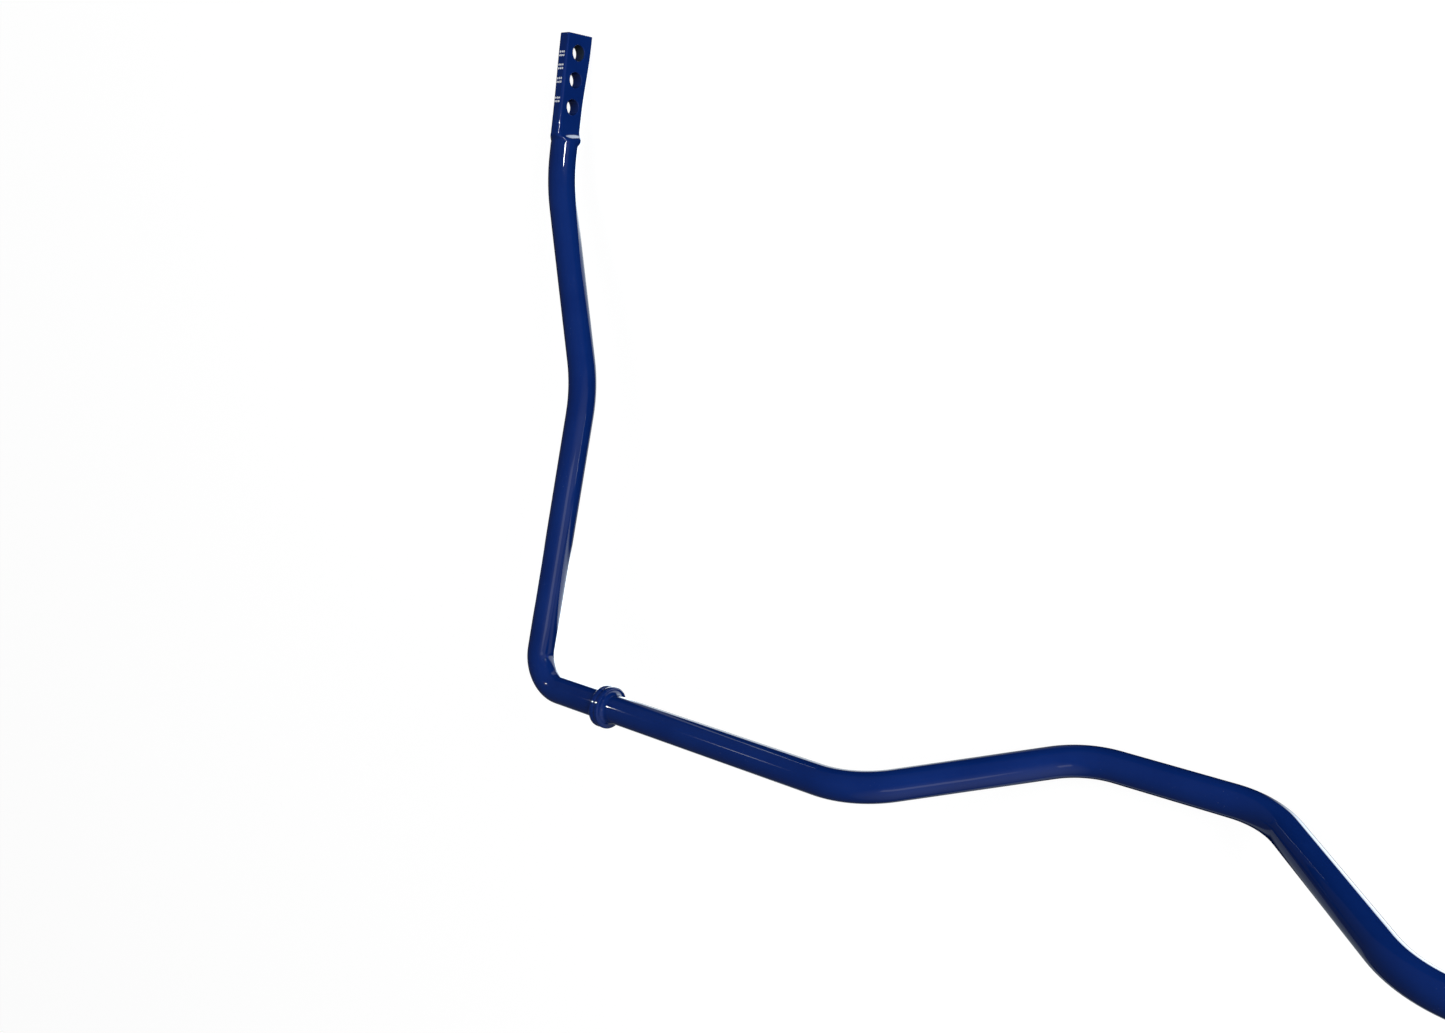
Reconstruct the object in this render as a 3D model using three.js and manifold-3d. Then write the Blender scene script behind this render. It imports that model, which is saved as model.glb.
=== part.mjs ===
// Sway bar: one solid steel bar, bent from tip to tip and forged flat at both ends,
// with a ring crimped on beside each corner. Millimetres, +Z up.
//
// The bar is drawn level first: its two bush runs lie on the X axis, its arms reach towards +Y,
// and its middle dips towards -Z. The whole part is then tipped so that it lies on the ground
// on its middle run and its two tips.
import * as THREE from "three";
import { mergeVertices } from "three/addons/utils/BufferGeometryUtils.js";
import Module from "manifold-3d";

const wasm = await Module();
wasm.setup();

// Bar
const barDiameter = 22;
const bushRunHalfSpan = 490; // middle of the bar to the line of each corner
const crankOuterHalfSpan = 176; // where each bush run turns down into the crank
const crankInnerHalfSpan = 62; // where the crank turns into the middle run
const crankForward = 41; // middle run, towards the arms
const crankDrop = 102.5; // middle run, below the bush runs

// Arms, from the bush line to the tips
const armReach = 515.5;
const kneeReach = 241.5;
const kneeInset = 17; // from the line of the corner, towards the middle
const bladeOutset = 36; // from the line of the corner, away from the middle
const bladeBendFromShoulder = 26.5;

// Radius of each bend, on the centre line
const bladeBendRadius = 130;
const kneeRadius = 110;
const cornerRadius = 26.5;
const crankOuterRadius = 72;
const crankInnerRadius = 57;

// Forged blades
const bladeLength = 80;
const bladeWidth = 26;
const bladeThickness = 10;
const bladeEdgeRadius = 2.5;
const shoulderLength = 8.5; // from flat to round
const tipSlant = THREE.MathUtils.degToRad(5.5); // the sawn end runs this far off square, longer below
const holeCount = 3;
const holeDiameter = 12.5;
const holePitch = 21;
const firstHoleFromTip = 14.5;
const holeChamfer = 0.5;

// Rings
const ringClearance = 0.3; // to the bar, all round
const ringWall = 5.2;
const ringWidth = 9.2;
const ringEdgeRound = 0.8;
const ringGrooveCount = 1;
const ringGrooveDepth = 0.5;
const ringFromCorner = 82; // middle of the ring to the line of the corner

// Fineness of the meshes
const barSides = 32; // a multiple of four, eight or more to each quarter
const bendStep = THREE.MathUtils.degToRad(7.5);
const shoulderSteps = 6;
const holeSides = 28;
const ringSides = 48;
const trim = 4; // sawn off each end after forging

const barRadius = barDiameter / 2;
const kneeHalfSpan = bushRunHalfSpan - kneeInset;
const bladeHalfSpan = bushRunHalfSpan + bladeOutset;
const shoulderReach = armReach - bladeLength - shoulderLength;
const bladeBendReach = shoulderReach - bladeBendFromShoulder;

const paintedSteel = new THREE.MeshStandardMaterial({
  color: 0x16266f,
  roughness: 0.25,
  metalness: 0.1,
});
const paintedRing = new THREE.MeshStandardMaterial({
  color: 0x18297a,
  roughness: 0.25,
  metalness: 0.1,
});

// Straight runs joined by arcs. Every step of an extrusion along it falls on the end
// of a straight run or inside a bend, so the runs stay straight with few facets.
class BentLine extends THREE.Curve {
  constructor() {
    super();
    this.stations = [];
  }

  addStation(point, direction) {
    this.stations.push({ point: point.clone(), direction: direction.clone().normalize() });
  }

  addBend(corner, from, to, radius) {
    const before = corner.clone().sub(from).normalize();
    const after = to.clone().sub(corner).normalize();
    const angle = before.angleTo(after);
    const setback = radius * Math.tan(angle / 2);
    const start = corner.clone().addScaledVector(before, -setback);
    const inward = after.clone().addScaledVector(before, -after.dot(before)).normalize();
    const centre = start.clone().addScaledVector(inward, radius);
    const steps = Math.ceil(angle / bendStep);
    for (let i = 0; i <= steps; i++) {
      const turned = (angle * i) / steps;
      const point = centre
        .clone()
        .addScaledVector(inward, -radius * Math.cos(turned))
        .addScaledVector(before, radius * Math.sin(turned));
      const direction = before
        .clone()
        .multiplyScalar(Math.cos(turned))
        .addScaledVector(inward, Math.sin(turned));
      this.addStation(point, direction);
    }
  }

  get steps() {
    return this.stations.length - 1;
  }

  // The stations either side of a share of the way, and how far it is from the first to the second
  around(share) {
    const at = THREE.MathUtils.clamp(share, 0, 1) * this.steps;
    const first = Math.min(Math.floor(at + 1e-9), this.steps - 1);
    return [this.stations[first], this.stations[first + 1], at - first];
  }

  getPoint(share, target = new THREE.Vector3()) {
    const [first, second, part] = this.around(share);
    return target.lerpVectors(first.point, second.point, part);
  }

  getPointAt(share, target) {
    return this.getPoint(share, target);
  }

  getTangent(share, target = new THREE.Vector3()) {
    const [first, second, part] = this.around(share);
    return target.lerpVectors(first.direction, second.direction, part).normalize();
  }

  getTangentAt(share, target) {
    return this.getTangent(share, target);
  }
}

// The bar's centre line from the left tip to the right one
function centreLine() {
  const left = [
    new THREE.Vector3(-bladeHalfSpan, armReach + trim, 0),
    new THREE.Vector3(-bladeHalfSpan, bladeBendReach, 0),
    new THREE.Vector3(-kneeHalfSpan, kneeReach, 0),
    new THREE.Vector3(-bushRunHalfSpan, 0, 0),
    new THREE.Vector3(-crankOuterHalfSpan, 0, 0),
    new THREE.Vector3(-crankInnerHalfSpan, crankForward, -crankDrop),
  ];
  const right = left.map(({ x, y, z }) => new THREE.Vector3(-x, y, z)).reverse();
  const corners = [...left, ...right];
  const leftRadii = [bladeBendRadius, kneeRadius, cornerRadius, crankOuterRadius, crankInnerRadius];
  const radii = [...leftRadii, ...leftRadii.slice().reverse()];

  const line = new BentLine();
  const towardsTip = new THREE.Vector3(0, 1, 0);
  const towardsBar = new THREE.Vector3(0, -1, 0);
  const reaches = [armReach + trim];
  for (let i = 0; i <= shoulderSteps; i++) {
    reaches.push(armReach - bladeLength - (shoulderLength * i) / shoulderSteps);
  }
  for (const reach of reaches) {
    line.addStation(new THREE.Vector3(-bladeHalfSpan, reach, 0), towardsBar);
  }
  for (let i = 1; i < corners.length - 1; i++) {
    line.addBend(corners[i], corners[i - 1], corners[i + 1], radii[i - 1]);
  }
  for (const reach of reaches.slice().reverse()) {
    line.addStation(new THREE.Vector3(bladeHalfSpan, reach, 0), towardsTip);
  }
  return line;
}

// Corner number i of the round section, half a step past the thickness axis so that
// the section is the same either way about both axes
function roundCorner(i) {
  const angle = ((i + 0.5) / barSides) * 2 * Math.PI;
  return new THREE.Vector2(barRadius * Math.cos(angle), barRadius * Math.sin(angle));
}

// The same corner of the blade's section: x across its thickness, y across its width
function bladeCorner(i) {
  const perQuarter = barSides / 4;
  const quarter = Math.floor(i / perQuarter);
  const odd = quarter % 2 === 1;
  const place = odd ? perQuarter - 1 - (i % perQuarter) : i % perQuarter;
  const onWideFace = 2;
  const onEdgeFace = 1;
  const onRound = perQuarter - onWideFace - onEdgeFace;
  const flatX = bladeThickness / 2 - bladeEdgeRadius;
  const flatY = bladeWidth / 2 - bladeEdgeRadius;
  let x, y;
  if (place < onWideFace) {
    x = bladeThickness / 2;
    y = (flatY * (2 * place + 1)) / (2 * onWideFace + 1);
  } else if (place < onWideFace + onRound) {
    const angle = ((place - onWideFace) / (onRound - 1)) * (Math.PI / 2);
    x = flatX + bladeEdgeRadius * Math.cos(angle);
    y = flatY + bladeEdgeRadius * Math.sin(angle);
  } else {
    x = flatX / (2 * onEdgeFace + 1);
    y = bladeWidth / 2;
  }
  const signX = quarter === 1 || quarter === 2 ? -1 : 1;
  const signY = quarter >= 2 ? -1 : 1;
  return new THREE.Vector2(signX * x, signY * y);
}

// Presses both ends of the round bar flat: each ring of corners past the shoulder
// moves from the round section to the blade's
function forgeEnds(geometry) {
  const position = geometry.attributes.position;
  const point = new THREE.Vector3();
  for (let i = 0; i < position.count; i++) {
    point.fromBufferAttribute(position, i);
    const pastShoulder = (point.y - shoulderReach) / shoulderLength;
    if (pastShoulder <= 1e-6) continue;
    const middle = Math.sign(point.x) * bladeHalfSpan;
    const turn = Math.atan2(point.z, point.x - middle) / (2 * Math.PI);
    const corner = Math.round((turn + 1) * barSides - 0.5) % barSides;
    const share = THREE.MathUtils.smoothstep(pastShoulder, 0, 1);
    const section = roundCorner(corner).lerp(bladeCorner(corner), share);
    position.setXYZ(i, middle + section.x, point.y, section.y);
  }
  return geometry;
}

function toSolid(geometry) {
  const bare = geometry.clone();
  bare.deleteAttribute("normal");
  bare.deleteAttribute("uv");
  const merged = mergeVertices(bare, 1e-4);
  const mesh = new wasm.Mesh({
    numProp: 3,
    vertProperties: new Float32Array(merged.attributes.position.array),
    triVerts: new Uint32Array(merged.index.array),
  });
  return new wasm.Manifold(mesh);
}

function toGeometry(solid) {
  const mesh = solid.getMesh();
  const geometry = new THREE.BufferGeometry();
  geometry.setAttribute("position", new THREE.BufferAttribute(mesh.vertProperties, 3));
  geometry.setIndex(new THREE.BufferAttribute(mesh.triVerts, 1));
  geometry.computeVertexNormals();
  return geometry;
}

// A drill with a countersink either side, along X
function holeCutter() {
  const radius = holeDiameter / 2;
  const half = bladeThickness / 2;
  const past = 1;
  const profile = [
    new THREE.Vector2(0, -half - past),
    new THREE.Vector2(radius + holeChamfer + past, -half - past),
    new THREE.Vector2(radius, -half + holeChamfer),
    new THREE.Vector2(radius, half - holeChamfer),
    new THREE.Vector2(radius + holeChamfer + past, half + past),
    new THREE.Vector2(0, half + past),
  ];
  return new THREE.LatheGeometry(profile, holeSides).rotateZ(Math.PI / 2);
}

// A block that takes off everything past the tips
function tipSaw() {
  const length = 4 * trim;
  return new THREE.BoxGeometry(4 * bladeHalfSpan, length, 4 * bladeWidth)
    .translate(0, length / 2, 0)
    .rotateX(tipSlant)
    .translate(0, armReach, 0);
}

function barGeometry() {
  const line = centreLine();
  const outline = [];
  for (let i = 0; i < barSides; i++) outline.push(roundCorner(i));
  const round = new THREE.ExtrudeGeometry(new THREE.Shape(outline), {
    steps: line.steps,
    extrudePath: line,
  });
  let solid = toSolid(forgeEnds(round)).subtract(toSolid(tipSaw()));
  for (const side of [-1, 1]) {
    for (let i = 0; i < holeCount; i++) {
      const reach = armReach - firstHoleFromTip - i * holePitch;
      const cutter = holeCutter().translate(side * bladeHalfSpan, reach, 0);
      solid = solid.subtract(toSolid(cutter));
    }
  }
  return toGeometry(solid);
}

// The ring's outside is a row of rounded ribs with a shallow groove between each two
function ringGeometry() {
  const inner = barRadius + ringClearance;
  const outer = inner + ringWall;
  const half = ringWidth / 2;
  const profile = [new THREE.Vector2(inner, -half), new THREE.Vector2(outer - ringEdgeRound, -half)];
  const ribCount = ringGrooveCount + 1;
  const samples = 4;
  const flank = half - ringEdgeRound;
  for (let i = 0; i <= ribCount * samples; i++) {
    const along = (2 * i) / (ribCount * samples) - 1;
    const crown = Math.abs(Math.sin((along + 1) * ribCount * (Math.PI / 2)));
    profile.push(new THREE.Vector2(outer - ringGrooveDepth * (1 - crown), along * flank));
  }
  profile.push(new THREE.Vector2(outer - ringEdgeRound, half), new THREE.Vector2(inner, half));
  profile.push(new THREE.Vector2(inner, -half));
  return toGeometry(toSolid(new THREE.LatheGeometry(profile, ringSides)));
}

function ring(name, side) {
  const mesh = new THREE.Mesh(ringGeometry(), paintedRing);
  mesh.name = name;
  mesh.rotation.z = Math.PI / 2;
  mesh.position.x = side * (bushRunHalfSpan - ringFromCorner);
  return mesh;
}

const bar = new THREE.Mesh(barGeometry(), paintedSteel);
bar.name = "bar";
const level = new THREE.Group();
level.add(bar, ring("left_collar", -1), ring("right_collar", 1));

// Tip the part until its middle run and the lower corners of its tips touch the ground
const lowestTipReach = armReach + (bladeWidth / 2) * Math.tan(tipSlant);
const towardsTipY = lowestTipReach - crankForward;
const towardsTipZ = crankDrop - bladeWidth / 2;
const distance = Math.hypot(towardsTipY, towardsTipZ);
level.rotation.x = -(Math.atan2(towardsTipZ, towardsTipY) + Math.asin(barRadius / distance));

// The origin is under the middle of the part
const box = new THREE.Box3().setFromObject(level, true);
const middle = box.getCenter(new THREE.Vector3());
level.position.set(-middle.x, -middle.y, -box.min.z);

const swayBar = new THREE.Group();
swayBar.add(level);

export default swayBar;
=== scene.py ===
import math

import bmesh
import bpy
from mathutils import Matrix, Vector


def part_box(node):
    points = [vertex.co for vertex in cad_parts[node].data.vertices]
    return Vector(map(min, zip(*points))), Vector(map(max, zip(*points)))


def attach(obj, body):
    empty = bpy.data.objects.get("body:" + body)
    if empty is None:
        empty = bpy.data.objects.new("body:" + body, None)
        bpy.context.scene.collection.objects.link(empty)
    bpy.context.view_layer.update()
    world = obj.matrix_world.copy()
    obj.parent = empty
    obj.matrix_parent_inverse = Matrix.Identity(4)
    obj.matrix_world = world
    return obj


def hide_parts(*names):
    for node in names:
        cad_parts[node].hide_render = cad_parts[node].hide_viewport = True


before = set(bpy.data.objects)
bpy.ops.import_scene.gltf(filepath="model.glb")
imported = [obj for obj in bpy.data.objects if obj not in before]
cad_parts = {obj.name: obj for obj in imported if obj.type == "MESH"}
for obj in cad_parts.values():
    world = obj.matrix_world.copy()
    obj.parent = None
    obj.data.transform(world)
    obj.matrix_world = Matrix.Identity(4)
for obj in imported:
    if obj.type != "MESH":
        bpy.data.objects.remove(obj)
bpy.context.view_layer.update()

MM = 0.001

# The bar's centre line
BAR_RADIUS = 11 * MM
BUSH_RUN_HALF_SPAN = 490 * MM
CRANK_OUTER_HALF_SPAN = 176 * MM
CRANK_INNER_HALF_SPAN = 62 * MM
CRANK_FORWARD = 41 * MM
CRANK_DROP = 102.5 * MM
KNEE_REACH = 241.5 * MM
KNEE_HALF_SPAN = 473 * MM
BLADE_BEND_REACH = 400.5 * MM
BLADE_HALF_SPAN = 526 * MM
ARM_REACH = 515.5 * MM
CRANK_INNER_RADIUS = 57 * MM
CRANK_OUTER_RADIUS = 72 * MM
CORNER_RADIUS = 26.5 * MM
KNEE_RADIUS = 110 * MM
BLADE_BEND_RADIUS = 130 * MM

# The forged blades. The flat proper ends one blade length from the tip, and the section changes
# from flat to round in steps that begin behind that place and end ahead of it.
BLADE_LENGTH = 80 * MM
BLADE_HALF_WIDTH = 13 * MM
BLADE_HALF_THICKNESS = 5 * MM
FLAT_END = ARM_REACH - BLADE_LENGTH
UPPER_EDGE_RADIUS = (1.6 * MM, 3.0 * MM)  # at the tip, at the shoulder
LOWER_EDGE_RADIUS = (1.0 * MM, 4.9 * MM)
EDGE_CHANGE = (8 * MM, 60 * MM)  # from the tip, where the edges grow from the first to the second
RAMP_LENGTH = 7.5 * MM
CREASE_LEAD = 4.2 * MM  # how far the crease lies on the tip side of the blade's stated length
CREASE_SLANT = math.tan(math.radians(18))
WIDTH_DROP = (1 * MM, 6 * MM)  # from the blade's full width to the bar's, past its length
WIDTH_SLANT = 0.15
STEPS_BEHIND = 1.9 * RAMP_LENGTH
STEPS_AHEAD = 1.2 * RAMP_LENGTH
SHOULDER_STEPS = 42
BLADE_STEPS = 12
LAST_STEP_FROM_TIP = 8 * MM
TIP_SLANT = math.tan(math.radians(5.5))
TIP_BEVEL = 0.6 * MM
TIP_CORNER = math.radians(60)  # edges that turn more than this are softened
HOLES_PER_BLADE = 3
HOLE_RADIUS = 6.15 * MM  # the paint takes 0.1 mm off the drilled radius
HOLE_PITCH = 21 * MM
FIRST_HOLE_FROM_TIP = 14.5 * MM
INNER_RIM_RADIUS = 0.8 * MM
OUTER_RIM_RADIUS = 0.3 * MM
RIM_STEPS = 5

# Plain round punch marks in the upper edge of each blade, in short rows
MARK_REACHES = [17.5 * MM, 27.5 * MM, 38 * MM, 53 * MM]
MARKS_PER_ROW = 3
ROW_OFFSETS = (-1.4 * MM, 1.4 * MM)
MARK_SPREAD = 2.1 * MM
MARK_RADIUS = 1.2 * MM
MARK_DEPTH = 0.4 * MM

# The rings
PAINT_FILM = 0.02 * MM
PAINT_BEAD = 0.7 * MM
BEAD_STEPS = 4
RIM_ROUND = 0.9 * MM
RIM_FULLNESS = 6
GROOVE_DEPTH = 0.5 * MM
GROOVE_WIDTH = 0.22  # of half the ring's width
RIM_POINTS = 24
FLANK_LIP = 0.1 * MM
FLANK_DROP = 0.8 * MM
FLANK_REACH = 3.2 * MM
FLANK_STEPS = 12

# Finishes
DEEP_BLUE = (0.002, 0.0155, 0.113, 1)
FULL_BLUE = (0.0032, 0.0195, 0.13, 1)
DUST_GREY = (0.25, 0.28, 0.34, 1)
STEEL_DARK = (0.03, 0.05, 0.055, 1)
STEEL_LIGHT = (0.07, 0.1, 0.09, 1)
OVERSPRAY_BLUE = (0.008, 0.016, 0.07, 1)
CHALK_DARK = (0.35, 0.38, 0.45, 1)
CHALK_LIGHT = (0.75, 0.77, 0.8, 1)

# Light and camera
LAMP_AIM = Vector((-0.3, -0.05, 0.05))
LAMP_DISTANCE = 2.6
BUSH_RUN_PLACE = Vector((-0.255, -0.24, 0.13))
RING_PLACE = Vector((-0.408, -0.237, 0.132))
CORNER_PLACE = Vector((-0.477, -0.223, 0.12))
SHOULDER_PLACE = Vector((-0.515, 0.15, 0.045))
DIM = 0.06
SIDE_GLOW = 0.4
BRIGHTEST = 4.6
GLOW_HALF_SPAN = 0.7
LENS = 35.21
CAMERA_PLACE = Vector((327.35, 181.06, 830.86)) * MM
CAMERA_AIM = Vector((-391.4, -114.7, 0)) * MM
CAMERA_ROLL = math.radians(107.46)

# Fineness of the meshes
BAR_SIDES = 96
BEND_STEP = math.radians(3)
RING_SIDES = 120
DRILL_SIDES = 72


def deselect_all():
    if bpy.context.object and bpy.context.object.mode != "OBJECT":
        bpy.ops.object.mode_set(mode="OBJECT")
    bpy.ops.object.select_all(action="DESELECT")


def empty_piece(name):
    """A mesh object at the origin, selected, with nothing in it yet."""
    deselect_all()
    piece = bpy.data.objects.new(name, bpy.data.meshes.new(name))
    bpy.context.scene.collection.objects.link(piece)
    bpy.context.view_layer.objects.active = piece
    piece.select_set(True)
    return piece


def activate(piece):
    deselect_all()
    bpy.context.view_layer.objects.active = piece
    piece.select_set(True)


def apply_modifier(piece, kind, **settings):
    activate(piece)
    modifier = piece.modifiers.new(kind.title(), kind)
    for name, value in settings.items():
        setattr(modifier, name, value)
    bpy.ops.object.modifier_apply(modifier=modifier.name)


def outward_normals(piece, merge_distance=1e-6):
    activate(piece)
    bpy.ops.object.mode_set(mode="EDIT")
    bpy.ops.mesh.select_all(action="SELECT")
    bpy.ops.mesh.remove_doubles(threshold=merge_distance)
    bpy.ops.mesh.normals_make_consistent(inside=False)
    bpy.ops.object.mode_set(mode="OBJECT")


# ---------------------------------------------------------------- rest pose

def rest_transform():
    """From the level bar to the way the part lies: on its middle run and its two tips."""
    lowest_tip_reach = ARM_REACH + BLADE_HALF_WIDTH * TIP_SLANT
    to_tip_y = lowest_tip_reach - CRANK_FORWARD
    to_tip_z = CRANK_DROP - BLADE_HALF_WIDTH
    tilt = -(math.atan2(to_tip_z, to_tip_y) + math.asin(BAR_RADIUS / math.hypot(to_tip_y, to_tip_z)))
    low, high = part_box("left_collar")
    bush_line = (low + high) / 2
    return Matrix.Translation((0, bush_line.y, bush_line.z)) @ Matrix.Rotation(tilt, 4, "X")


REST = rest_transform()


def lay_down(piece):
    piece.data.transform(REST)
    piece.data.update()


# ---------------------------------------------------------------- the bar

def extrude_to(here, there):
    bpy.ops.mesh.extrude_region_move(TRANSFORM_OT_translate={"value": there - here})


def bend(corner, before, after, radius):
    """Spins the selected ring of edges through one bend and gives the place where it ends."""
    angle = before.angle(after)
    setback = radius * math.tan(angle / 2)
    start = corner - before * setback
    inward = (after - before * after.dot(before)).normalized()
    axis = before.cross(after).normalized()
    bpy.ops.mesh.spin(
        steps=math.ceil(angle / BEND_STEP),
        angle=-angle,
        center=start + inward * radius,
        axis=axis,
    )
    return corner + after * setback


def bend_start(corner, before, after, radius):
    return corner - before * radius * math.tan(before.angle(after) / 2)


def half_bar():
    """The left half, from the middle of the bar to the tip, round all the way."""
    piece = empty_piece("bar")
    bpy.ops.object.mode_set(mode="EDIT")
    corners = [
        Vector((0, CRANK_FORWARD, -CRANK_DROP)),
        Vector((-CRANK_INNER_HALF_SPAN, CRANK_FORWARD, -CRANK_DROP)),
        Vector((-CRANK_OUTER_HALF_SPAN, 0, 0)),
        Vector((-BUSH_RUN_HALF_SPAN, 0, 0)),
        Vector((-KNEE_HALF_SPAN, KNEE_REACH, 0)),
        Vector((-BLADE_HALF_SPAN, BLADE_BEND_REACH, 0)),
        Vector((-BLADE_HALF_SPAN, ARM_REACH, 0)),
    ]
    radii = [CRANK_INNER_RADIUS, CRANK_OUTER_RADIUS, CORNER_RADIUS, KNEE_RADIUS, BLADE_BEND_RADIUS]
    bpy.ops.mesh.primitive_circle_add(
        vertices=BAR_SIDES, radius=BAR_RADIUS, location=corners[0], rotation=(0, math.pi / 2, 0)
    )
    here = corners[0]
    for i, radius in enumerate(radii, start=1):
        before = (corners[i] - corners[i - 1]).normalized()
        after = (corners[i + 1] - corners[i]).normalized()
        extrude_to(here, bend_start(corners[i], before, after, radius))
        here = bend(corners[i], before, after, radius)

    for reach in shoulder_reaches() + blade_reaches() + [ARM_REACH]:
        if reach <= here.y:
            continue
        there = Vector((here.x, reach, 0))
        extrude_to(here, there)
        here = there
    bpy.ops.mesh.edge_face_add()
    bpy.ops.object.mode_set(mode="OBJECT")
    return piece


def shoulder_reaches():
    span = STEPS_BEHIND + STEPS_AHEAD
    return [FLAT_END - STEPS_BEHIND + span * i / SHOULDER_STEPS for i in range(SHOULDER_STEPS + 1)]


def blade_reaches():
    start = FLAT_END + STEPS_AHEAD
    span = ARM_REACH - LAST_STEP_FROM_TIP - start
    return [start + span * i / BLADE_STEPS for i in range(1, BLADE_STEPS + 1)]


def ease(value, low, high):
    share = min(max((value - low) / (high - low), 0), 1)
    return share * share * (3 - 2 * share)


def edge_radius(reach, upper):
    """The blade's edges are fuller near the shoulder, and crisper where the press closed on them."""
    at_tip, at_shoulder = UPPER_EDGE_RADIUS if upper else LOWER_EDGE_RADIUS
    share = ease(ARM_REACH - reach, *EDGE_CHANGE)
    return at_tip + (at_shoulder - at_tip) * share


def blade_section(turn, rounding):
    """Where a point of the round section at that angle is pressed to: across, up."""
    quarter = math.pi / 2
    folded = abs(math.remainder(turn, math.pi))
    share = folded / quarter
    flat_across = BLADE_HALF_THICKNESS - rounding
    flat_up = BLADE_HALF_WIDTH - rounding
    wide_end, narrow_start = 0.36, 0.82
    if share < wide_end:
        across = BLADE_HALF_THICKNESS
        up = flat_up * share / wide_end
    elif share < narrow_start:
        angle = quarter * (share - wide_end) / (narrow_start - wide_end)
        across = flat_across + rounding * math.cos(angle)
        up = flat_up + rounding * math.sin(angle)
    else:
        across = flat_across * (1 - share) / (1 - narrow_start)
        up = BLADE_HALF_WIDTH
    return math.copysign(across, math.cos(turn)), math.copysign(up, math.sin(turn))


def forge_blade(piece):
    """Presses the end flat. The flat ends at a slanted crease, rises in a short steep ramp, and
    the metal squeezed out sideways keeps the blade's width a little way past it."""
    for vertex in piece.data.vertices:
        if vertex.co.y < FLAT_END - STEPS_BEHIND or vertex.co.x > -BLADE_HALF_SPAN / 2:
            continue
        across = vertex.co.x + BLADE_HALF_SPAN
        up = vertex.co.z
        crease = FLAT_END + CREASE_LEAD - CREASE_SLANT * up
        past = (crease - vertex.co.y) / RAMP_LENGTH
        rounding = edge_radius(vertex.co.y, up > 0)
        blade_across, blade_up = blade_section(math.atan2(up, across), rounding)
        pressed = 1 - ease(past, 0, 1)
        widened = 1 - ease(FLAT_END - vertex.co.y + WIDTH_SLANT * up, *WIDTH_DROP)
        vertex.co.x = -BLADE_HALF_SPAN + across + (blade_across - across) * pressed
        vertex.co.z = up + (blade_up - up) * widened
        if vertex.co.y > ARM_REACH - 0.01 * MM:
            vertex.co.y = ARM_REACH - TIP_SLANT * vertex.co.z


def soften_tip(piece):
    activate(piece)
    bpy.ops.object.mode_set(mode="EDIT")
    bpy.ops.mesh.select_mode(type="EDGE")
    bpy.ops.mesh.select_all(action="DESELECT")
    mesh = bmesh.from_edit_mesh(piece.data)
    for edge in mesh.edges:
        on_tip = all(v.co.y > ARM_REACH - 3 * MM for v in edge.verts)
        turn = edge.calc_face_angle(0)
        edge.select = on_tip and turn > TIP_CORNER
    bmesh.update_edit_mesh(piece.data)
    bpy.ops.mesh.bevel(offset=TIP_BEVEL, segments=3, profile=0.5)
    bpy.ops.object.mode_set(mode="OBJECT")


def rim_flare(rim_radius, over=0.3 * MM):
    """Half of a drill's outline, from the hole's wall out over its rim."""
    flare = []
    for i in range(RIM_STEPS + 1):
        angle = math.pi / 2 * i / RIM_STEPS
        back = rim_radius * (1 - math.sin(angle))
        radius = HOLE_RADIUS + rim_radius * (1 - math.cos(angle))
        flare.append((BLADE_HALF_THICKNESS - back, radius))
    flare.append((BLADE_HALF_THICKNESS + over, HOLE_RADIUS + rim_radius + over))
    return flare


def hole_cutter(reach):
    """A drill whose two ends flare out, so that the hole's rims come out rounded."""
    outer = [(-across, radius) for across, radius in reversed(rim_flare(OUTER_RIM_RADIUS))]
    profile = outer + rim_flare(INNER_RIM_RADIUS)
    return lathe_on_x("drill", profile, Vector((-BLADE_HALF_SPAN, reach, 0)), DRILL_SIDES)


def lathe_on_x(name, profile, middle, sides):
    """A closed solid turned about a line along X: profile is a list of (place along X, radius)."""
    piece = empty_piece(name)
    bpy.ops.object.mode_set(mode="EDIT")
    here, radius = profile[0]
    bpy.ops.mesh.primitive_circle_add(
        vertices=sides,
        radius=radius,
        fill_type="NGON",
        location=middle + Vector((here, 0, 0)),
        rotation=(0, math.pi / 2, 0),
    )
    for along, new_radius in profile[1:]:
        bpy.ops.mesh.extrude_region_move(TRANSFORM_OT_translate={"value": (along - here, 0, 0)})
        scale = new_radius / radius
        centre = middle + Vector((along, 0, 0))
        bpy.ops.transform.resize(value=(1, scale, scale), center_override=centre)
        here, radius = along, new_radius
    bpy.ops.object.mode_set(mode="OBJECT")
    outward_normals(piece)
    return piece


def cut(piece, cutter):
    apply_modifier(piece, "BOOLEAN", operation="DIFFERENCE", solver="EXACT", object=cutter)
    bpy.data.objects.remove(cutter, do_unlink=True)


def mark_cutter(reach, across):
    """A shallow round-ended punch mark in the blade's upper edge."""
    piece = empty_piece("punch")
    bpy.ops.object.mode_set(mode="EDIT")
    bpy.ops.mesh.primitive_uv_sphere_add(
        segments=16,
        ring_count=10,
        radius=MARK_RADIUS,
        location=(-BLADE_HALF_SPAN + across, reach, BLADE_HALF_WIDTH + MARK_RADIUS - MARK_DEPTH),
    )
    bpy.ops.object.mode_set(mode="OBJECT")
    return piece


def mirror_halves(piece):
    apply_modifier(piece, "MIRROR", use_axis=(True, False, False), merge_threshold=1e-5)
    outward_normals(piece)


def finish_shading(piece, angle=40):
    activate(piece)
    bpy.ops.object.shade_smooth_by_angle(angle=math.radians(angle))
    apply_modifier(piece, "WEIGHTED_NORMAL", keep_sharp=True)


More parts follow.
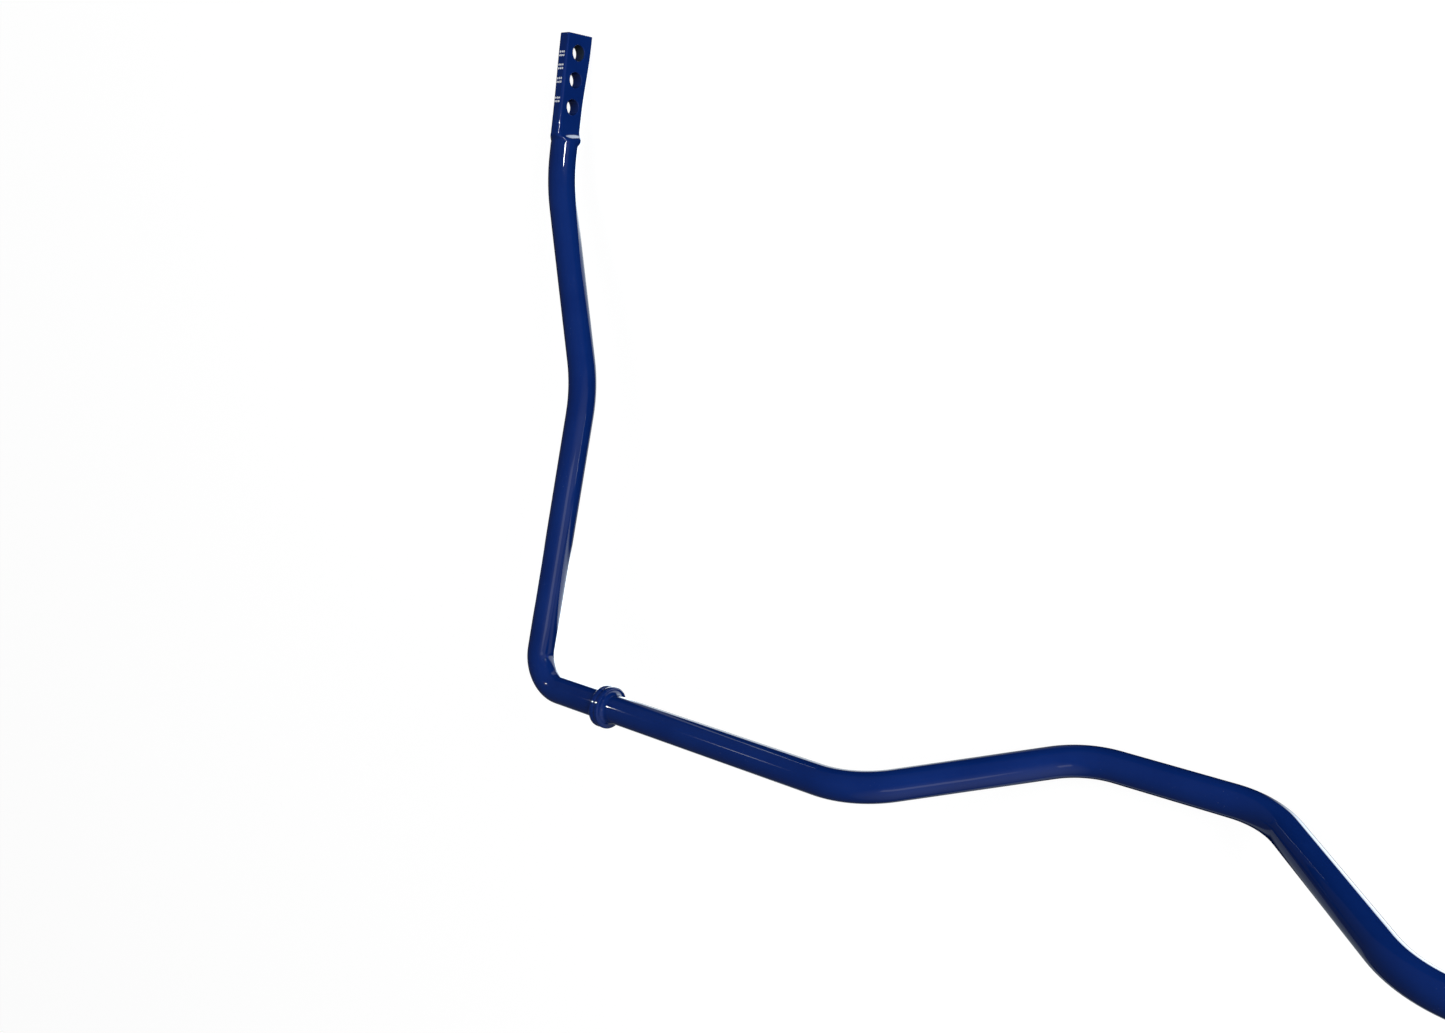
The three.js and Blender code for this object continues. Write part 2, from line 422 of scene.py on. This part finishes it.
def drill_holes(bar, paint, bare_steel):
    """The paint has run into all the holes but the first, whose wall is bare."""
    for i in range(HOLES_PER_BLADE):
        drill = hole_cutter(ARM_REACH - FIRST_HOLE_FROM_TIP - i * HOLE_PITCH)
        for material in (paint, bare_steel):
            drill.data.materials.append(material)
        for face in drill.data.polygons:
            on_wall = abs(face.normal.x) < 0.05
            face.material_index = 1 if on_wall and i == 0 else 0
        cut(bar, drill)


def punch_marks(bar, chalk):
    for reach in MARK_REACHES:
        for offset in ROW_OFFSETS:
            for dot in range(MARKS_PER_ROW):
                across = MARK_SPREAD * (dot - (MARKS_PER_ROW - 1) / 2)
                punch = mark_cutter(ARM_REACH - reach + offset, across)
                punch.data.materials.append(chalk)
                cut(bar, punch)


def make_bar(paint, bare_steel, chalk):
    bar = half_bar()
    forge_blade(bar)
    outward_normals(bar)
    soften_tip(bar)
    for material in (paint, bare_steel, chalk):
        bar.data.materials.append(material)
    drill_holes(bar, paint, bare_steel)
    punch_marks(bar, chalk)
    mirror_halves(bar)
    lay_down(bar)
    finish_shading(bar)
    return bar


# ---------------------------------------------------------------- the rings

def ring_profile(half_width, outer):
    """From the outboard side to the inboard one: a small bead of paint, two low rims with a
    shallow groove between them, and a hollow flank that runs down on to the bar."""
    inner = BAR_RADIUS + PAINT_FILM
    face_outer = outer - RIM_ROUND
    profile = []
    for i in range(BEAD_STEPS + 1):
        angle = math.pi / 2 * i / BEAD_STEPS
        along = -half_width - PAINT_BEAD * (1 - math.sin(angle))
        profile.append((along, inner + PAINT_BEAD * (1 - math.cos(angle))))
    profile.append((-half_width, face_outer))
    for i in range(1, RIM_POINTS):
        along = 2 * i / RIM_POINTS - 1
        shoulder = RIM_ROUND * (1 - (1 - abs(along) ** RIM_FULLNESS) ** 0.5)
        groove = GROOVE_DEPTH * math.exp(-((along / GROOVE_WIDTH) ** 2))
        profile.append((half_width * along, outer - shoulder - groove))
    profile.append((half_width, face_outer))
    lip = half_width + FLANK_LIP
    fall = face_outer - FLANK_DROP - inner
    profile.append((lip, face_outer - FLANK_DROP))
    for i in range(1, FLANK_STEPS + 1):
        angle = math.pi / 2 * i / FLANK_STEPS
        profile.append((lip + FLANK_REACH * (1 - math.cos(angle)), inner + fall * (1 - math.sin(angle))))
    return profile


def make_ring(node, side, paint):
    """The ring's place and size come from its solid in the frame."""
    low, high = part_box(node)
    half_width = (high.x - low.x) / 2
    outer = (high.y - low.y) / 2
    middle = Vector(((low.x + high.x) / 2, 0, 0))
    profile = ring_profile(half_width, outer)
    if side > 0:
        profile = [(-along, radius) for along, radius in reversed(profile)]
    ring = lathe_on_x(node + "_ring", profile, middle, RING_SIDES)
    ring.data.materials.append(paint)
    lay_down(ring)
    finish_shading(ring, angle=50)
    return ring


# ---------------------------------------------------------------- finishes

def new_group(name, inputs, outputs):
    group = bpy.data.node_groups.new(name, "ShaderNodeTree")
    for label, kind, value in inputs:
        socket = group.interface.new_socket(label, in_out="INPUT", socket_type=kind)
        socket.default_value = value
    for label, kind in outputs:
        group.interface.new_socket(label, in_out="OUTPUT", socket_type=kind)
    entry = group.nodes.new("NodeGroupInput")
    end = group.nodes.new("NodeGroupOutput")
    return group, entry, end


def add_node(tree, kind, links=None, **settings):
    """A node with its settings; links maps an input's name or number to a value or a socket."""
    node = tree.nodes.new(kind)
    for name, value in settings.items():
        setattr(node, name, value)
    for key, value in (links or {}).items():
        if isinstance(value, bpy.types.NodeSocket):
            tree.links.new(value, node.inputs[key])
        else:
            node.inputs[key].default_value = value
    return node


def mix_colour(tree, factor, first, second):
    node = add_node(tree, "ShaderNodeMix", data_type="RGBA")
    for index, value in ((0, factor), (6, first), (7, second)):
        if isinstance(value, bpy.types.NodeSocket):
            tree.links.new(value, node.inputs[index])
        else:
            node.inputs[index].default_value = value
    return node.outputs[2]


def remap(tree, value, low, high, to_low, to_high):
    links = {0: value, 1: low, 2: high, 3: to_low, 4: to_high}
    return add_node(tree, "ShaderNodeMapRange", links).outputs[0]


def multiply(tree, first, second):
    return add_node(tree, "ShaderNodeMath", {0: first, 1: second}, operation="MULTIPLY").outputs[0]


def powder_skin_group():
    """Gloss powder coat: slow waves of orange peel, fine grain, and cloudy colour and gloss."""
    group, entry, end = new_group(
        "powder_skin",
        [
            ("Position", "NodeSocketVector", (0, 0, 0)),
            ("Peel Size", "NodeSocketFloat", 300.0),
            ("Grain Size", "NodeSocketFloat", 1500.0),
        ],
        [("Height", "NodeSocketFloat"), ("Cloud", "NodeSocketFloat"), ("Grain", "NodeSocketFloat")],
    )
    position = entry.outputs["Position"]
    peel_size, grain_size = entry.outputs["Peel Size"], entry.outputs["Grain Size"]
    peel = add_node(group, "ShaderNodeTexNoise", {"Vector": position, "Scale": peel_size, "Detail": 2})
    grain = add_node(group, "ShaderNodeTexNoise", {"Vector": position, "Scale": grain_size, "Detail": 1})
    cloud = add_node(group, "ShaderNodeTexNoise", {"Vector": position, "Scale": 28.0, "Detail": 3.0})
    small = remap(group, grain.outputs[0], 0.0, 1.0, 0.0, 0.15)
    height = add_node(group, "ShaderNodeMath", {0: peel.outputs[0], 1: small}, operation="ADD")
    group.links.new(height.outputs[0], end.inputs["Height"])
    group.links.new(cloud.outputs[0], end.inputs["Cloud"])
    group.links.new(grain.outputs[0], end.inputs["Grain"])
    return group


def dust_group():
    """Where fine dust has settled: specks, more of them on faces that look up."""
    group, entry, end = new_group(
        "settled_dust",
        [("Position", "NodeSocketVector", (0, 0, 0)), ("Amount", "NodeSocketFloat", 0.5)],
        [("Mask", "NodeSocketFloat")],
    )
    position = entry.outputs["Position"]
    specks = add_node(group, "ShaderNodeTexVoronoi", {"Vector": position, "Scale": 420.0})
    patches = add_node(group, "ShaderNodeTexNoise", {"Vector": position, "Scale": 35.0})
    speck = remap(group, specks.outputs["Distance"], 0.05, 0.14, 1.0, 0.0)
    patch = remap(group, patches.outputs[0], 0.5, 0.72, 0.0, 1.0)
    normal = add_node(group, "ShaderNodeNewGeometry").outputs["Normal"]
    facing = add_node(group, "ShaderNodeSeparateXYZ", {0: normal})
    up = remap(group, facing.outputs["Z"], 0.2, 1.0, 0.0, 1.0)
    shown = multiply(group, multiply(group, speck, patch), up)
    amount = multiply(group, shown, entry.outputs["Amount"])
    group.links.new(amount, end.inputs["Mask"])
    return group


def new_material(name):
    material = bpy.data.materials.new(name)
    material.use_nodes = True
    tree = material.node_tree
    shader = tree.nodes["Principled BSDF"]
    position = add_node(tree, "ShaderNodeTexCoord").outputs["Object"]
    return material, tree, shader, position


def place_group(tree, group, **values):
    node = add_node(tree, "ShaderNodeGroup", node_tree=group)
    for name, value in values.items():
        label = name.replace("_", " ")
        if isinstance(value, bpy.types.NodeSocket):
            tree.links.new(value, node.inputs[label])
        else:
            node.inputs[label].default_value = value
    return node


def blue_powder_coat(name, skin, dust, peel_size):
    material, tree, shader, position = new_material(name)
    coat = place_group(tree, skin, Position=position, Peel_Size=peel_size, Grain_Size=1400.0)
    specks = place_group(tree, dust, Position=position, Amount=0.35)
    cloud = remap(tree, coat.outputs["Cloud"], 0.3, 0.7, 0.0, 1.0)
    blue = mix_colour(tree, cloud, DEEP_BLUE, FULL_BLUE)
    dusted = mix_colour(tree, specks.outputs["Mask"], blue, DUST_GREY)
    rough = remap(tree, coat.outputs["Cloud"], 0.3, 0.7, 0.03, 0.06)
    bump = add_node(tree, "ShaderNodeBump", {"Height": coat.outputs["Height"], "Strength": 0.1})
    bump.inputs["Distance"].default_value = 0.05 * MM
    tree.links.new(dusted, shader.inputs["Base Color"])
    tree.links.new(rough, shader.inputs["Roughness"])
    tree.links.new(bump.outputs[0], shader.inputs["Normal"])
    shader.inputs["IOR"].default_value = 1.5
    shader.inputs["Coat Weight"].default_value = 0.15
    shader.inputs["Coat Roughness"].default_value = 0.05
    return material


def drilled_steel(skin):
    """The bare wall of a drilled hole, with a little overspray of paint."""
    material, tree, shader, position = new_material("drilled_steel")
    coat = place_group(tree, skin, Position=position, Peel_Size=500.0, Grain_Size=2200.0)
    lines = {"Vector": position, "Scale": 900.0}
    cutter_lines = add_node(tree, "ShaderNodeTexWave", lines, bands_direction="X")
    spray = remap(tree, coat.outputs["Cloud"], 0.42, 0.6, 0.0, 1.0)
    grey = mix_colour(tree, coat.outputs["Grain"], STEEL_DARK, STEEL_LIGHT)
    wall = mix_colour(tree, spray, grey, OVERSPRAY_BLUE)
    bump = add_node(tree, "ShaderNodeBump", {"Height": cutter_lines.outputs["Fac"], "Strength": 0.3})
    bump.inputs["Distance"].default_value = 0.05 * MM
    tree.links.new(wall, shader.inputs["Base Color"])
    tree.links.new(remap(tree, spray, 0.0, 1.0, 0.45, 0.25), shader.inputs["Roughness"])
    tree.links.new(remap(tree, spray, 0.0, 1.0, 0.7, 0.0), shader.inputs["Metallic"])
    tree.links.new(bump.outputs[0], shader.inputs["Normal"])
    return material


def punch_mark_chalk(skin):
    """Pale fill in the punch marks."""
    material, tree, shader, position = new_material("punch_mark_chalk")
    coat = place_group(tree, skin, Position=position, Peel_Size=900.0, Grain_Size=2600.0)
    pale = mix_colour(tree, coat.outputs["Grain"], CHALK_DARK, CHALK_LIGHT)
    tree.links.new(pale, shader.inputs["Base Color"])
    tree.links.new(remap(tree, coat.outputs["Grain"], 0.3, 0.7, 0.5, 0.8), shader.inputs["Roughness"])
    bump = add_node(tree, "ShaderNodeBump", {"Height": coat.outputs["Grain"], "Strength": 0.4})
    bump.inputs["Distance"].default_value = 0.05 * MM
    tree.links.new(bump.outputs[0], shader.inputs["Normal"])
    return material


# ---------------------------------------------------------------- floor, light and camera

def pale_floor():
    deselect_all()
    bpy.ops.mesh.primitive_plane_add(size=60, location=(0, 0, 0))
    floor = bpy.context.object
    floor.name = "floor"
    material = bpy.data.materials.new("pale_paper")
    material.use_nodes = True
    tree = material.node_tree
    shader = tree.nodes["Principled BSDF"]
    shader.inputs["Base Color"].default_value = (0.12, 0.12, 0.12, 1)
    shader.inputs["Roughness"].default_value = 0.9
    shader.inputs["Emission Color"].default_value = (1, 1, 1, 1)
    seen = add_node(tree, "ShaderNodeLightPath").outputs["Is Camera Ray"]
    tree.links.new(remap(tree, seen, 0.0, 1.0, 0.2, 0.93), shader.inputs["Emission Strength"])
    floor.data.materials.append(material)
    floor.visible_glossy = False


def towards(azimuth, elevation):
    azimuth, elevation = math.radians(azimuth), math.radians(elevation)
    flat = math.cos(elevation)
    return Vector((flat * math.cos(azimuth), flat * math.sin(azimuth), math.sin(elevation)))


def area_lamp(name, place, aim, size, power, in_gloss=True):
    light = bpy.data.lights.new(name, "AREA")
    light.shape = "RECTANGLE"
    light.size, light.size_y = size
    light.energy = power
    lamp = bpy.data.objects.new(name, light)
    lamp.location = place
    lamp.rotation_euler = (place - aim).to_track_quat("Z", "Y").to_euler()
    lamp.visible_glossy = in_gloss
    bpy.context.scene.collection.objects.link(lamp)
    return lamp


def beam_lamp(name, aim, way, distance, size, beam, power):
    """A small lamp that only the gloss sees, with a narrow beam, so that it makes one highlight."""
    lamp = area_lamp(name, aim + way * distance, aim, size, power)
    lamp.data.spread = math.radians(beam)
    lamp.visible_camera = False
    lamp.visible_diffuse = False


def lamps():
    """Two soft boxes for the paint's colour, a strip for the sheen along the arms, and four small
    lamps for the highlights on the left bush run, the ring, the corner and the shoulder."""
    side_place = LAMP_AIM + towards(30, 22) * LAMP_DISTANCE
    top_place = LAMP_AIM + towards(60, 75) * LAMP_DISTANCE
    front_place = LAMP_AIM + towards(-12, 42) * LAMP_DISTANCE
    area_lamp("side_softbox", side_place, LAMP_AIM, (1.4, 1.2), 60, in_gloss=False)
    area_lamp("top_softbox", top_place, LAMP_AIM, (2.0, 2.0), 30, in_gloss=False)
    area_lamp("front_strip", front_place, LAMP_AIM, (0.5, 0.9), 1.0)
    beam_lamp("bush_run_streak", BUSH_RUN_PLACE, towards(148, 46), 2.5, (0.1, 0.3), 5.5, 0.0004)
    beam_lamp("ring_spark", RING_PLACE, towards(150, 40), 0.35, (0.006, 0.006), 20, 0.004)
    beam_lamp("corner_spark", CORNER_PLACE, towards(21, 4), 1.5, (0.03, 0.03), 8, 0.02)
    beam_lamp("shoulder_streak", SHOULDER_PLACE, towards(15, 30), 0.35, (0.12, 0.01), 25, 0.02)


def studio_world():
    """Dim all round, with a soft glow from the near side."""
    world = bpy.data.worlds.new("studio")
    bpy.context.scene.world = world
    world.use_nodes = True
    tree = world.node_tree
    background = tree.nodes["Background"]
    direction = add_node(tree, "ShaderNodeTexCoord").outputs["Generated"]
    near_side = add_node(
        tree, "ShaderNodeVectorMath", {0: direction, 1: towards(-28, 18)}, operation="DOT_PRODUCT"
    )
    side = remap(tree, near_side.outputs["Value"], 0.55, 1.0, DIM, SIDE_GLOW)
    tree.links.new(side, background.inputs["Strength"])
    background.inputs["Color"].default_value = (0.95, 0.98, 1.0, 1)


def window(tree, value, start, rise, fall, end):
    """1 between rise and fall, going to 0 at start and at end."""
    up = remap(tree, value, start, rise, 0.0, 1.0)
    down = remap(tree, value, fall, end, 1.0, 0.0)
    return multiply(tree, up, down)


def level_along(tree, value, low, high, stops):
    """A brightness that changes along a line: stops are (place, brightness)."""
    ramp = add_node(tree, "ShaderNodeValToRGB", {0: remap(tree, value, low, high, 0.0, 1.0)})
    points = ramp.color_ramp.elements
    while len(points) < len(stops):
        points.new(0.5)
    for point, (place, brightness) in zip(points, stops):
        point.position = (place - low) / (high - low)
        share = brightness / BRIGHTEST
        point.color = (share, share, share, 1)
    return multiply(tree, ramp.outputs[0], BRIGHTEST)


def strongest(tree, glows):
    glow = glows[0]
    for other in glows[1:]:
        glow = add_node(tree, "ShaderNodeMath", {0: glow, 1: other}, operation="MAXIMUM").outputs[0]
    return glow


def bush_run_glow(tree, x, y):
    """Under both bush runs, dark where the middle run lies."""
    band = window(tree, y, -0.258, -0.25, -0.203, -0.18)
    left = [(-0.6, 2.2), (-0.3, 2.0), (-0.17, 0.7), (-0.07, 0.0)]
    right = [(0.055, 0.0), (0.2, 0.0), (0.24, 1.5), (0.6, 1.7)]
    return multiply(tree, band, level_along(tree, x, -GLOW_HALF_SPAN, GLOW_HALF_SPAN, left + right))


def slope_glow(tree, x, y):
    """The brightest band, under the right slope of the crank; its two long sides lie askew."""
    rear_line = add_node(tree, "ShaderNodeMath", {0: x, 1: -0.135, 2: y}, operation="MULTIPLY_ADD")
    front_line = add_node(tree, "ShaderNodeMath", {0: x, 1: 0.444, 2: y}, operation="MULTIPLY_ADD")
    rear = remap(tree, rear_line.outputs[0], -0.224, -0.219, 1.0, 0.0)
    front = remap(tree, front_line.outputs[0], -0.196, -0.177, 0.0, 1.0)
    length = window(tree, x, 0.05, 0.08, 0.2, 0.24)
    return multiply(tree, multiply(tree, multiply(tree, rear, front), length), BRIGHTEST)


def arm_glow(tree, outward, y):
    """Under both arms, and under the blades from their inboard faces outwards."""
    near_line = remap(tree, y, 0.1, 0.14, 0.465, 0.5215)
    past = add_node(tree, "ShaderNodeMath", {0: outward, 1: near_line}, operation="SUBTRACT").outputs[0]
    from_line = window(tree, past, -0.003, 0.0, 0.05, 0.07)
    far_side = remap(tree, outward, 0.535, 0.545, 1.0, 0.0)
    arm = [(-0.25, 0.3), (-0.12, 0.35), (0.0, 0.85), (0.1, 1.2)]
    blade = [(0.15, BRIGHTEST), (0.262, BRIGHTEST), (0.27, 0.0)]
    level = level_along(tree, y, -0.3, 0.4, arm + blade)
    return multiply(tree, multiply(tree, from_line, far_side), level)


def corner_glow(tree, outward, y):
    """Outside each corner, for the white reflection on its inner side."""
    across = window(tree, outward, 0.485, 0.495, 0.62, 0.64)
    along = window(tree, y, -0.31, -0.3, -0.19, -0.17)
    return multiply(tree, multiply(tree, across, along), BRIGHTEST)


def front_glow(tree, y):
    """A weak glow beyond the front of the part."""
    return multiply(tree, window(tree, y, -0.6, -0.5, -0.31, -0.285), 0.32)


def glow_card():
    """A card just under the floor, seen only by the gloss, that gives the bar its bright edges."""
    deselect_all()
    bpy.ops.mesh.primitive_plane_add(size=1.6, location=(0, 0, 0))
    card = bpy.context.object
    card.name = "glow_card"
    card.data.transform(Matrix.Translation((0, 0, -4 * MM)))
    material = bpy.data.materials.new("glow_card")
    material.use_nodes = True
    material.cycles.emission_sampling = "NONE"
    tree = material.node_tree
    shader = tree.nodes["Principled BSDF"]
    position = add_node(tree, "ShaderNodeTexCoord").outputs["Object"]
    place = add_node(tree, "ShaderNodeSeparateXYZ", {0: position})
    x, y = place.outputs["X"], place.outputs["Y"]
    outward = add_node(tree, "ShaderNodeMath", {0: x}, operation="ABSOLUTE").outputs[0]
    glows = [
        bush_run_glow(tree, x, y),
        arm_glow(tree, outward, y),
        slope_glow(tree, x, y),
        front_glow(tree, y),
        corner_glow(tree, outward, y),
    ]
    tree.links.new(strongest(tree, glows), shader.inputs["Emission Strength"])
    shader.inputs["Emission Color"].default_value = (0.82, 0.92, 1, 1)
    shader.inputs["Base Color"].default_value = (0, 0, 0, 1)
    shader.inputs["Specular IOR Level"].default_value = 0
    card.data.materials.append(material)
    for ray in ("camera", "diffuse", "transmission", "volume_scatter", "shadow"):
        setattr(card, "visible_" + ray, False)


def camera():
    lens = bpy.data.cameras.new("camera")
    lens.lens = LENS
    lens.sensor_width = 36
    place = bpy.data.objects.new("camera", lens)
    bpy.context.scene.collection.objects.link(place)
    forward = (CAMERA_AIM - CAMERA_PLACE).normalized()
    level_right = forward.cross(Vector((0, 0, 1))).normalized()
    level_up = level_right.cross(forward)
    up = level_up * math.cos(CAMERA_ROLL) + level_right * math.sin(CAMERA_ROLL)
    right = forward.cross(up)
    axes = Matrix((right, up, -forward)).transposed().to_4x4()
    place.matrix_world = Matrix.Translation(CAMERA_PLACE) @ axes
    bpy.context.scene.camera = place


# ---------------------------------------------------------------- the whole part

skin = powder_skin_group()
dust = dust_group()
bar_paint = blue_powder_coat("blue_powder_coat", skin, dust, 260.0)
ring_paint = blue_powder_coat("blue_powder_coat_ring", skin, dust, 340.0)
bare_steel = drilled_steel(skin)
chalk = punch_mark_chalk(skin)

bar = make_bar(bar_paint, bare_steel, chalk)
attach(bar, "root")
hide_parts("bar")

for node, side in (("left_collar", -1), ("right_collar", 1)):
    ring = make_ring(node, side, ring_paint)
    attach(ring, "root")
    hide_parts(node)

pale_floor()
glow_card()
studio_world()
lamps()
camera()
bpy.context.scene.view_settings.view_transform = "Standard"
